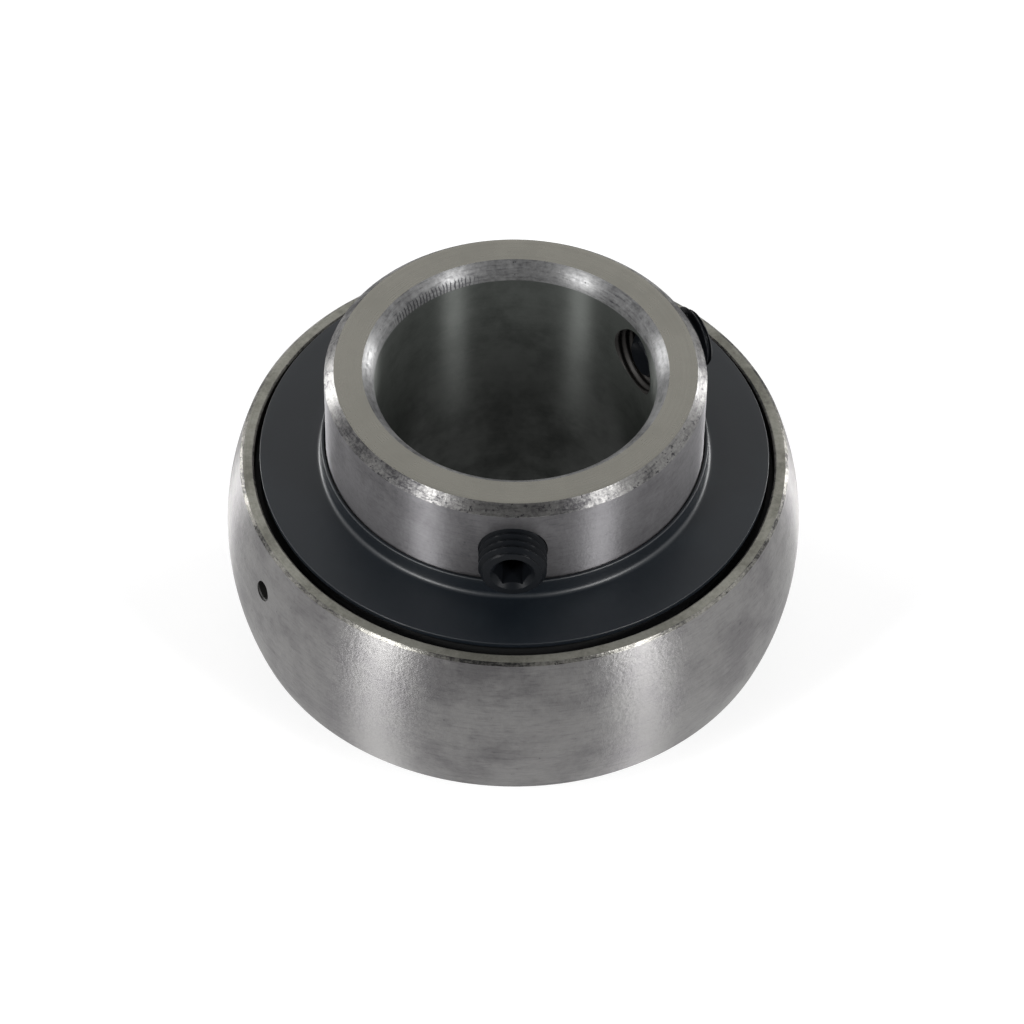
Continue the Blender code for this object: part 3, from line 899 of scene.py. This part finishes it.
@dataclass
class InnerRing:
    """The long ring with its raceway, lead-ins and two threaded radial holes."""

    sizes: Sizes
    end_chamfer: float = 0.85 * MM
    mouth_reach: float = 1.05 * MM
    mouth_depth: float = 1.65 * MM
    hole_crest: float = 3.03 * MM
    hole_root: float = 3.2 * MM
    mouth_land: float = 0.6 * MM
    holes: tuple[float, ...] = (-90.0, 30.0)
    thread: Thread = Thread()

    def section(self) -> Section:
        """Draw the ring from its wide end down the outside and back up the bore.

        Returns:
            The outline, which closes along the wide end face.
        """
        s = self.sizes
        mouth = s.bore + self.mouth_reach
        shoulder = s.inner_wall - self.end_chamfer
        race_angle = math.degrees(math.acos((s.inner_race + s.groove - s.inner_wall) / s.groove))
        wide, narrow = s.wide_side, -s.narrow_side
        ring = Section().line(shoulder - 0.4 * MM, wide, Zone.FACE)
        ring.rounded(
            [(shoulder, wide, 0.06 * MM, Zone.FACE),
             (s.inner_wall, wide - self.end_chamfer, 0.08 * MM, Zone.EDGE),
             (s.inner_wall, wide - self.end_chamfer - 0.5 * MM, 0, Zone.WALL)], Zone.EDGE,
        )
        ring.line(s.inner_wall, 5 * MM, Zone.WALL, 24)
        ring.arc(
            s.inner_race + s.groove, 0, s.groove, 180 - race_angle, 180 + race_angle,
            Zone.RACEWAY, 24
        )
        ring.line(s.inner_wall, narrow + self.end_chamfer + 0.5 * MM, Zone.WALL, 12)
        ring.rounded(
            [(s.inner_wall, narrow + self.end_chamfer, 0.08 * MM, Zone.WALL),
             (shoulder, narrow, 0.06 * MM, Zone.EDGE), (mouth, narrow, 0, Zone.FACE)], Zone.EDGE,
        )
        lead_in = (self.mouth_depth**2 + self.mouth_reach**2) / (2 * self.mouth_reach)
        sweep = math.degrees(math.acos(1 - self.mouth_reach / lead_in))
        centre = self.mouth_depth
        ring.arc(s.bore + lead_in, narrow + centre, lead_in, 180 + sweep, 180, Zone.MOUTH, 14)
        # The bore's darker colour is partly painted shade of its inside
        ring.line(s.bore, wide - self.mouth_depth, Zone.BORE_OIL_AND_SHADE, 40)
        return ring.arc(s.bore + lead_in, wide - centre, lead_in, 180, 180 - sweep, Zone.MOUTH, 14)

    def tap(self, number: int, degrees: float) -> Mesh:
        """The tool of one hole: a thread that ends in a plain land at the wall.

        Args:
            number: the hole's number.
            degrees: its azimuth.

        Returns:
            The closed cutter.
        """
        s = self.sizes
        columns, rows, inward, outward = 72, 170, 2.5 * MM, 1.5 * MM
        angle = np.linspace(0, 2 * math.pi, columns, endpoint=False)[:, None]
        z = np.linspace(s.bore - inward, s.inner_wall + outward, rows)[None, :]
        ridge = np.where(z < s.inner_wall - self.mouth_land, self.thread.ridge(z, angle), 1.0)
        radius = self.hole_root - (self.hole_root - self.hole_crest) * ridge
        axis = np.zeros((columns, 1))
        radius = np.concatenate([axis, radius, axis], axis=1)
        z = np.broadcast_to(np.concatenate([z[:, :1], z, z[:, -1:]], axis=1), radius.shape)
        points = np.stack([radius * np.cos(angle), radius * np.sin(angle), z], axis=2)
        place = on_radius(degrees, 0, s.screw_height)
        zones = [Zone.DRILLED] * (radius.shape[1] - 1)
        return grid_mesh(f"screw_tap_{number}", placed(points, place), zones, closed=False)

    def build(self) -> None:
        """Turn the ring, tap its two holes and show it."""
        ring = self.section().turned("inner_ring_surface", close=Zone.FACE)
        taps = [self.tap(number, degrees) for number, degrees in enumerate(self.holes, start=1)]
        show("inner_ring", bored(ring, taps), "inner")


@dataclass
class SetScrews:
    """The two hexagon-socket set screws with cup points."""

    sizes: Sizes
    radius: float = 2.98 * MM
    depth: float = 0.44 * MM
    length: float = 6.0 * MM
    end_face: float = 2.55 * MM
    countersink: float = 1.95 * MM
    half_flats: float = 1.5 * MM
    socket_depth: float = 3.0 * MM
    cup: float = 1.6 * MM
    cup_depth: float = 0.7 * MM
    cup_edge: float = 0.08 * MM
    face_edge: float = 0.05 * MM
    drill_point: float = 0.5 * MM
    places: tuple[tuple[float, float], ...] = ((-90.0, 2.6 * MM), (30.0, 2.0 * MM))
    thread: Thread = Thread()

    def surface(self) -> np.ndarray:
        """Work out the screw about its own axis, with its outer end at height 0.

        A column runs from the bottom of the socket up its wall, over the countersink and the
        end face, down the thread and into the cup. The socket's wall stands at the half width
        across flats over the cosine of the angle from the nearest flat. The thread is cut down
        by a 45 degree cone at each end.

        Returns:
            Positions, shaped (columns, rows, 3).
        """
        columns, rows = 96, 150
        angle = np.linspace(0, 2 * math.pi, columns, endpoint=False)[:, None]
        to_flat = angle % (math.pi / 3) - math.pi / 6
        wall = self.half_flats / np.cos(to_flat)
        down = np.linspace(0, -self.length, rows)[None, :]
        crest = self.radius - self.depth * (1 - self.thread.ridge(down, angle))
        outer_cone, inner_cone = self.end_face - down, self.cup + self.length + down
        flank = np.minimum(np.minimum(crest, outer_cone), inner_cone)
        flat = np.ones((columns, 1))
        socket_r = [
            0 * flat, wall, wall, wall, self.countersink * flat,
            (self.end_face - self.face_edge) * flat,
        ]
        socket_z = [
            -(self.socket_depth + self.drill_point) * flat, -self.socket_depth * flat,
            -self.socket_depth / 2 * flat, wall - self.countersink, 0 * flat, 0 * flat,
        ]
        inside_r = [(self.cup - self.cup_edge) * flat, 0 * flat]
        inside_z = [-self.length * flat, (self.cup_depth - self.length) * flat]
        r = np.concatenate([*socket_r, flank, *inside_r], axis=1)
        z = np.concatenate([*socket_z, np.broadcast_to(down, flank.shape), *inside_z], axis=1)
        return np.stack([r * np.cos(angle), r * np.sin(angle), z], axis=2)

    def build(self) -> None:
        """Place both screws along their radii and show them."""
        points = self.surface()
        zones = [Zone.OXIDE] * (points.shape[1] - 1)
        for number, (degrees, stand_out) in enumerate(self.places, start=1):
            place = on_radius(degrees, self.sizes.inner_wall + stand_out, self.sizes.screw_height)
            mesh = grid_mesh(
                f"set_screw_{number}_surface", placed(points, place), zones, closed=False
            )
            show(f"set_screw_{number}", mesh, f"set_screw_{number}")


@dataclass
class Flingers:
    """The pressed discs over the seals, with a collar turned up along the inner ring."""

    sizes: Sizes
    sheet: float = 0.5 * MM
    collar_sheet: float = 0.34 * MM
    face_gap: float = 0.2 * MM
    edge_gap: float = 0.55 * MM
    fit_gap: float = 0.11 * MM
    collar: float = 1.8 * MM
    fillet: float = 0.45 * MM
    bend: float = 0.5 * MM
    edge: float = 0.06 * MM

    def section(self) -> Section:
        """Draw the sheet from the collar's outside down to the rim and back along the inside.

        Returns:
            The outline, which closes over the collar's top.
        """
        s, z = self.sizes, Zone.BLACKED
        bore = s.inner_wall + self.fit_gap
        outside = bore + self.collar_sheet
        rim = s.recess - self.edge_gap
        under = s.half_width + self.face_gap
        over = under + self.sheet
        top = over + self.collar
        lip = 0.12 * MM
        sheet = Section().arc(outside - lip, top - lip, lip, 90, 0, z, 4)
        sheet.line(outside, over + self.fillet, z, 3)
        sheet.arc(outside + self.fillet, over + self.fillet, self.fillet, 180, 270, z, 8)
        sheet.line(rim - self.edge, over, z, 6)
        sheet.arc(rim - self.edge, over - self.edge, self.edge, 90, 0, z, 8)
        sheet.arc(rim - self.edge, under + self.edge, self.edge, 0, -90, z, 3)
        sheet.line(bore + self.bend, under, z, 6)
        sheet.arc(bore + self.bend, under + self.bend, self.bend, 270, 180, z, 8)
        sheet.line(bore, top - lip, z, 3)
        return sheet.arc(bore + lip, top - lip, lip, 180, 90, z, 4)

    def build(self) -> None:
        """Turn both discs and show them."""
        for side, sheet in (("upper", self.section()), ("lower", self.section().flipped())):
            mesh = sheet.turned(f"{side}_flinger_surface", close=Zone.BLACKED)
            show(f"{side}_flinger", mesh, "inner")


@dataclass
class Seals:
    """The plated washers in the recesses and the rubber lips bonded to them."""

    sizes: Sizes
    sheet: float = 0.5 * MM
    rim_height: float = 1.4 * MM
    gap: float = 0.05 * MM
    joggle: float = 0.6 * MM
    joggle_inset: float = 1.5 * MM
    span: float = 1.6 * MM
    slot: float = 0.8 * MM
    cover: float = 0.4 * MM
    clearance: float = 0.15 * MM
    tip: float = 0.3 * MM

    def plate(self) -> Section:
        """Draw the cupped washer from its upturned rim inward and back.

        Returns:
            The outline, which closes over the rim's top.
        """
        # The washer's near-black finish is painted shade for the gap above it
        s, z = self.sizes, Zone.ZINC_AS_GAP_SHADE
        rim, seat = s.recess - self.gap, s.seal_seat + self.gap
        raised, edge = seat + self.joggle, s.inner_wall + self.span
        out, start = rim - self.joggle_inset, rim - self.joggle_inset - self.joggle
        t = self.sheet
        plate = Section().line(rim - 0.05 * MM, seat + self.rim_height, z)
        plate.rounded(
            [(rim, seat + self.rim_height, 0.04 * MM, z), (rim, seat, 0.25 * MM, z),
             (out, seat, 0.3 * MM, z), (start, raised, 0.3 * MM, z), (edge, raised, 0.05 * MM, z),
             (edge, raised + t, 0.05 * MM, z), (start, raised + t, 0.3 * MM, z),
             (out, seat + t, 0.3 * MM, z), (rim - t, seat + t, 0.15 * MM, z),
             (rim - t, seat + self.rim_height, 0, z)], z,
        )
        return plate

    def lip(self) -> Section:
        """Draw the bead round the washer's edge and the lip that leans to the inner ring.

        Returns:
            The outline, which closes along the bead's upper side.
        """
        s, z = self.sizes, Zone.RUBBER
        under = s.seal_seat + self.gap + self.joggle
        over = under + self.sheet
        bottom = s.inner_wall + self.span - self.gap
        bead, tip = bottom + self.slot, s.inner_wall + self.clearance
        round_ = 0.1 * MM
        lip = Section().line(bead - 0.2 * MM, over + self.cover, z)
        lip.rounded(
            [(bead, over + self.cover, round_, z), (bead, over + self.gap, 0.02 * MM, z),
             (bottom, over + self.gap, 0, z), (bottom, under - self.gap, 0, z),
             (bead, under - self.gap, 0.02 * MM, z), (bead, under - self.cover, round_, z),
             (bottom - self.cover, under - self.cover, 0.15 * MM, z), (tip, over, 0.05 * MM, z),
             (tip, over + self.tip, 0.05 * MM, z),
             (bottom - self.cover, over + self.cover, 0, z)], z,
        )
        return lip

    def build(self) -> None:
        """Turn the washers and lips of both sides and show them."""
        for kind, section, slot in (
            ("seal_plate", self.plate(), "zinc_plated_sheet"),
            ("seal_lip", self.lip(), "nitrile_rubber"),
        ):
            for side, outline in (("upper", section), ("lower", section.flipped())):
                mesh = outline.turned(f"{side}_{kind}_surface", 240, close=section.zones[0])
                show(f"{side}_{kind}", mesh, "outer")


@dataclass
class BallRow:
    """The balls on their pitch circle."""

    sizes: Sizes

    def build(self) -> None:
        """Turn one ball from pole to pole, place it nine times and show each."""
        s = self.sizes
        for k in range(s.balls):
            half = Section().arc(0, 0, s.ball, 90, -90, Zone.BALL, 36)
            mesh = half.turned(f"ball_{k + 1}_surface", 72, place=s.on_pitch(k))
            show(f"ball_{k + 1}", mesh, f"ball_{k + 1}")


@dataclass
class Cage:
    """Two pressed ribbons with a pocket round each ball, riveted on the lands between."""

    sizes: Sizes
    sheet: float = 0.6 * MM
    width: float = 3.2 * MM
    clearance: float = 0.25 * MM
    inner_bend: float = 0.2 * MM
    joint_gap: float = 0.04 * MM
    shank: float = 0.65 * MM
    hole_clearance: float = 0.1 * MM
    head: float = 1.15 * MM
    head_height: float = 0.6 * MM
    seat_gap: float = 0.03 * MM

    def ribbon(self, side: int) -> Mesh:
        """Roll and dome one ribbon.

        At a row's radius a pocket is a circle of the pocket's sphere about the ball. It runs
        down to the tangent of a bend, which runs out on to the flat land, and an arc's length
        becomes an azimuth on the pitch circle. The outer face is the inner one moved by the
        sheet's thickness along its normal.

        Args:
            side: 1 for the upper half and -1 for the lower one.

        Returns:
            The mesh.
        """
        s = self.sizes
        rows, crown_steps, bend_steps = 7, 10, 6
        row = np.linspace(s.pitch - self.width / 2, s.pitch + self.width / 2, rows)
        pocket, land = s.ball + self.clearance, self.joint_gap / 2
        bend = self.sheet + self.inner_bend
        dome = np.sqrt(pocket**2 - (row - s.pitch) ** 2)[None, :]
        bend_x = np.sqrt((dome + bend) ** 2 - (land + bend) ** 2)
        tangent = np.arctan2(land + bend, bend_x)
        crown = math.pi / 2 + (tangent - math.pi / 2) * np.linspace(0, 1, crown_steps + 1)[:, None]
        foot_share = np.linspace(0, 1, bend_steps + 1)[1:, None]
        foot = (math.pi + tangent) + (math.pi / 2 - tangent) * foot_share
        along = np.concatenate([dome * np.cos(crown), bend_x + bend * np.cos(foot)])
        up = np.concatenate([dome * np.sin(crown), land + bend + bend * np.sin(foot)])
        azimuth = 2 * np.arcsin(along / (2 * np.sqrt(row * s.pitch)))
        middle = np.full((1, rows), math.pi / s.balls)
        one = np.concatenate([-azimuth[::-1], azimuth[1:], middle])
        height = np.concatenate([up[::-1], up[1:], np.full((1, rows), land)])
        turn = np.arange(s.balls)[:, None, None] * 2 * math.pi / s.balls
        azimuth = (turn + one[None]).reshape(-1, rows)
        height = np.tile(height, (s.balls, 1))
        inner = np.stack([row * np.cos(azimuth), row * np.sin(azimuth), height], axis=2)
        down_ribbon = np.roll(inner, -1, axis=0) - np.roll(inner, 1, axis=0)
        across = np.gradient(inner, axis=1)
        normal = np.cross(across, down_ribbon)
        normal /= np.linalg.norm(normal, axis=2, keepdims=True)
        outer = inner + normal * self.sheet
        points = np.concatenate([inner, outer[:, ::-1]], axis=1) * np.array([1, 1, side])
        zones = [Zone.STRIP] * (2 * rows)
        return grid_mesh(f"cage_ribbon_{side}", points, zones)

    def punched(self, side: int) -> Mesh:
        """Punch the rivet holes through one ribbon.

        Args:
            side: 1 for the upper half and -1 for the lower one.

        Returns:
            The punched mesh.
        """
        s = self.sizes
        radius, reach = self.shank + self.hole_clearance, 2 * MM
        z = Zone.STRIP
        punch = Section().line(0, -reach, z).line(radius, -reach, z)
        punch.line(radius, reach, z).line(0, reach, z)
        tools = [
            punch.turned(f"rivet_punch_{k}", 24, place=s.on_pitch(k + 0.5))
            for k in range(s.balls)
        ]
        return bored(self.ribbon(side), tools)

    def build(self) -> None:
        """Show both ribbons and the nine rivets with their closed heads."""
        show("cage_upper", self.punched(1), "cage")
        show("cage_lower", self.punched(-1), "cage")
        seat = self.joint_gap / 2 + self.sheet + self.seat_gap
        z = Zone.RIVET
        head = Section().line(self.shank, 0.2 * MM, z).line(self.shank, seat, z)
        head.line(self.head - 0.05 * MM, seat, z)
        share = np.linspace(0, math.pi / 2, 9)[1:]
        for angle in share:
            head.line(
                float(self.head * math.cos(angle * 0.98)) if angle < share[-1] else 0.0,
                float(seat + self.head_height * math.sin(angle)), z,
            )
        for k in range(self.sizes.balls):
            whole = head.flipped().then(head, z)
            place = self.sizes.on_pitch(k + 0.5)
            mesh = whole.turned(f"cage_rivet_{k + 1}_surface", 32, place=place)
            show(f"cage_rivet_{k + 1}", mesh, "cage")


# -------------------------------------------------------------------------------- the set


@dataclass
class Studio:
    """Pale floor, soft lamps, white world, and the camera at the photograph's viewing angle."""

    elevation: float = 48.136
    roll: float = -0.9309
    distance: float = 421.13 * MM
    aside: float = 0.118 * MM
    above: float = 0.544 * MM
    lens: float = 162.33
    world_light: float = 0.4
    opening: float = 0.2
    top_light: float = 0.35
    opening_edge: tuple[float, float] = (-0.75, -0.35)
    top_edge: tuple[float, float] = (0.69, 0.80)
    floor_colour: str = "#B4B4B4"
    floor_fleck: str = "#B8B8B8"
    fibre_mm: float = 2 / 3
    floor_glow: float = 0.64
    floor_reach: float = 3.0
    glow_grows: tuple[float, float] = (0.2, 0.6)
    lamp_distance: float = 0.75
    lamps: tuple[tuple[str, float, float, float, float], ...] = (
        ("left_softbox", -47.0, 28.0, 0.40, 4.3),
        ("right_softbox", 47.0, 28.0, 0.40, 4.1),
        ("back_left_softbox", -125.0, 12.0, 0.24, 2.9),
        ("back_right_softbox", 128.0, 12.0, 0.24, 2.9),
    )
    lamp_width: float = 0.16

    def build(self) -> None:
        """Set the floor, world, lamps and camera."""
        scene = bpy.context.scene
        scene.view_settings.view_transform = "Standard"
        self.floor()
        self.world()
        for lamp in self.lamps:
            self.softbox(*lamp)
        self.camera()

    def seen_share(self, tree: NodeTree) -> NodeSocket:
        """1 for rays that show a surface to the eye, and 0 for those that only light it.

        Args:
            tree: the node tree.

        Returns:
            The share.
        """
        rays = add_node(tree, "LightPath").node.outputs
        seen = add_node(
            tree, "Math", {0: rays["Is Camera Ray"], 1: rays["Is Glossy Ray"]},
            operation="MAXIMUM",
        )
        return add_node(
            tree, "Math", {0: seen, 1: rays["Is Transmission Ray"]}, operation="MAXIMUM"
        )

    def floor(self) -> None:
        """Lay a pale floor that keeps the shadow, with a lift where it is seen.

        The lift grows to white with distance from the bearing, where the lamps no longer reach.
        """
        corners = np.array([[-1, -1, 0], [1, -1, 0], [1, 1, 0], [-1, 1, 0]]) * self.floor_reach
        mesh = bpy.data.meshes.new("floor")
        mesh.from_pydata(corners, [], [(0, 1, 2, 3)])
        # Matt pale card: it takes the soft shadow and shows no gloss.
        material, shader = new_material(
            "matt_pale_card", {"Roughness": 1.0, "Specular IOR Level": 0.0}
        )
        tree = material.node_tree
        place = add_node(tree, "TexCoord").node.outputs["Object"]
        fibre = add_node(tree, "TexNoise", {"Vector": place, "Scale": 1 / (self.fibre_mm * MM)})
        colour = add_node(
            tree, "Mix",
            {"Factor": fibre, "A": linear(self.floor_colour), "B": linear(self.floor_fleck)},
            data_type="RGBA",
        )
        away = add_node(tree, "VectorMath", {0: place}, operation="LENGTH")
        near, far = self.glow_grows
        lift = add_node(
            tree, "MapRange", {0: away, 1: near, 2: far, 3: self.floor_glow, 4: 1.0},
            interpolation_type="SMOOTHSTEP",
        )
        glow = add_node(tree, "Math", {0: self.seen_share(tree), 1: lift}, operation="MULTIPLY")
        tree.links.new(colour, shader.inputs["Base Color"])
        shader.inputs["Emission Color"].default_value = (1, 1, 1, 1)
        tree.links.new(glow, shader.inputs["Emission Strength"])
        mesh.materials.append(material)
        floor = bpy.data.objects.new("floor", mesh)
        bpy.context.scene.collection.objects.link(floor)

    def world(self) -> None:
        """Surround the set with a white tent, darker behind the camera and overhead.

        The opening is a soft cone about the direction from the bearing to the front, and the
        tent's light falls with height.
        """
        world = bpy.data.worlds.new("studio")
        world.use_nodes = True
        tree = world.node_tree
        background = tree.nodes["Background"]
        background.inputs["Color"].default_value = (1, 1, 1, 1)
        direction = add_node(
            tree, "SeparateXYZ",
            {0: add_node(tree, "TexCoord").node.outputs["Generated"]},
        ).node.outputs
        strength = add_node(
            tree, "Math",
            {0: self.seen_share(tree), 1: 1 - self.world_light, 2: self.world_light},
            operation="MULTIPLY_ADD",
        )
        for way, (low, high), start, end in (
            (direction[1], self.opening_edge, self.opening, 1.0),
            (direction[2], self.top_edge, 1.0, self.top_light),
        ):
            part = add_node(
                tree, "MapRange", {0: way, 1: low, 2: high, 3: start, 4: end},
                interpolation_type="SMOOTHSTEP",
            )
            strength = add_node(tree, "Math", {0: strength, 1: part}, operation="MULTIPLY")
        tree.links.new(strength, background.inputs["Strength"])
        bpy.context.scene.world = world

    def softbox(self, name: str, aside: float, above: float, height: float, power: float) -> None:
        """Hang one soft lamp, turned to the bearing.

        Args:
            name: the lamp's name.
            aside: its azimuth in degrees from the camera's side, to the right.
            above: its elevation in degrees.
            height: how tall it is, in metres.
            power: its power in watts.
        """
        azimuth, elevation = math.radians(aside - 90), math.radians(above)
        away = Vector(
            (math.cos(elevation) * math.cos(azimuth), math.cos(elevation) * math.sin(azimuth),
             math.sin(elevation))
        )
        light = bpy.data.lights.new(name, "AREA")
        light.shape = "RECTANGLE"
        light.size, light.size_y = self.lamp_width, height
        light.energy = power
        lamp = bpy.data.objects.new(name, light)
        lamp.location = Vector((0, 0, BALL_PLANE)) + away * self.lamp_distance
        lamp.rotation_euler = away.to_track_quat("Z", "Y").to_euler()
        bpy.context.scene.collection.objects.link(lamp)

    def camera(self) -> None:
        """Stand the camera where the photograph was taken."""
        elevation, roll = math.radians(self.elevation), math.radians(self.roll)
        forward = Vector((0, math.cos(elevation), -math.sin(elevation)))
        right, down = Vector((1, 0, 0)), Vector((0, -math.sin(elevation), -math.cos(elevation)))
        turned_right = right * math.cos(roll) + down * math.sin(roll)
        turned_down = down * math.cos(roll) - right * math.sin(roll)
        lens = bpy.data.cameras.new("camera")
        lens.lens, lens.sensor_width = self.lens, 36.0
        lens.clip_start, lens.clip_end = 0.01, 50.0
        camera = bpy.data.objects.new("camera", lens)
        axes = Matrix((turned_right, -turned_down, -forward)).transposed().to_4x4()
        axes.translation = Vector((0, 0, BALL_PLANE)) - (
            turned_right * self.aside + turned_down * self.above + forward * self.distance
        )
        camera.matrix_world = axes
        bpy.context.scene.collection.objects.link(camera)
        bpy.context.scene.camera = camera


def main() -> None:
    """Build the bearing's pieces in order, then the set."""
    logging.basicConfig(level=logging.INFO, format="%(name)s: %(message)s")
    sizes = Sizes()
    for piece in (
        OuterRing(sizes), InnerRing(sizes), SetScrews(sizes), Flingers(sizes), Seals(sizes),
        BallRow(sizes), Cage(sizes),
    ):
        piece.build()
    Studio().build()


if __name__ == "__main__":
    main()
